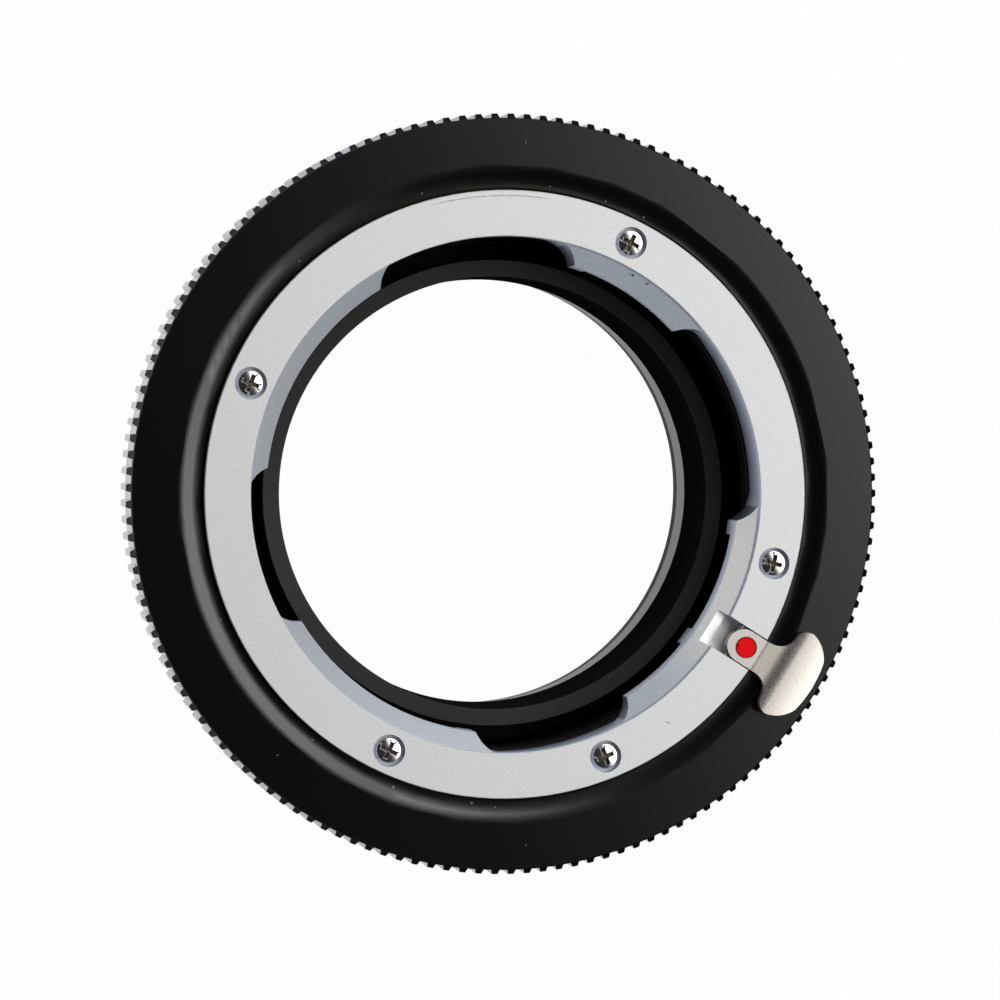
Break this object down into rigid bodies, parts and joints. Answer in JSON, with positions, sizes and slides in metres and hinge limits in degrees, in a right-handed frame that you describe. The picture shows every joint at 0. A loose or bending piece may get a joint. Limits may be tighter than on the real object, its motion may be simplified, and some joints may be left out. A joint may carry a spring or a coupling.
{
  "type": "macro adapter",
  "caption": "Variable extension adapter: knurled helicoid ring, chrome female bayonet with release lever in front, chrome male bayonet behind.",
  "frame": {"origin": "centre of the rear bayonet's end face, which the adapter stands on", "axes": "+Z along the optical axis towards the lens, +X to the right and +Y up in the picture"},
  "size_m": [0.0648, 0.0648, 0.0247],
  "materials": {
    "satin_chrome": "satin chrome on brass",
    "polished_steel": "polished",
    "satin_steel": "satin",
    "spring_steel": "plain",
    "red_enamel": "enamel",
    "black_anodised": "satin black anodised",
    "matte_black": "matte black anodised",
    "brass": "turned"
  },
  "bodies": {
    "rear_body": {"rear_bayonet_ring": "satin_chrome", "rear_bayonet_screws": "polished_steel", "rear_barrel": "black_anodised", "inner_light_tube": "matte_black", "guide_keys": "brass", "snap_ring": "spring_steel", "index_bead": "red_enamel"},
    "focusing_ring": {"focusing_ring": "black_anodised", "helicoid_nut": "brass", "stop_pin": "spring_steel"},
    "lens_carrier": {"lens_carrier": "matte_black", "front_bayonet_ring": "satin_chrome", "front_bayonet_screws": "polished_steel", "lever_pivot_pin": "polished_steel", "lever_spring": "spring_steel"},
    "release_lever": {"release_lever": "satin_steel", "lever_red_dot": "red_enamel"}
  },
  "joints": [
    {"name": "focus_turn", "type": "hinge", "parent": "rear_body", "child": "focusing_ring", "pos_m": [0, 0, 0.0197], "axis": [0, 0, 1], "range_deg": [0, 180]},
    {"name": "carrier_slide", "type": "slide", "parent": "rear_body", "child": "lens_carrier", "axis": [0, 0, 1], "range_m": [0, 0.012]},
    {"name": "lever_press", "type": "hinge", "parent": "lens_carrier", "child": "release_lever", "pos_m": [0.01973, -0.01257, 0.0227], "axis": [0.5373, 0.8434, 0], "range_deg": [0, 4.5], "stiffness_Nm_per_rad": 0.08, "springref_deg": -5.73}
  ],
  "couplings": [
    {"joint": "carrier_slide", "follows": "focus_turn", "m_per_rad": 0.0038197}
  ]
}
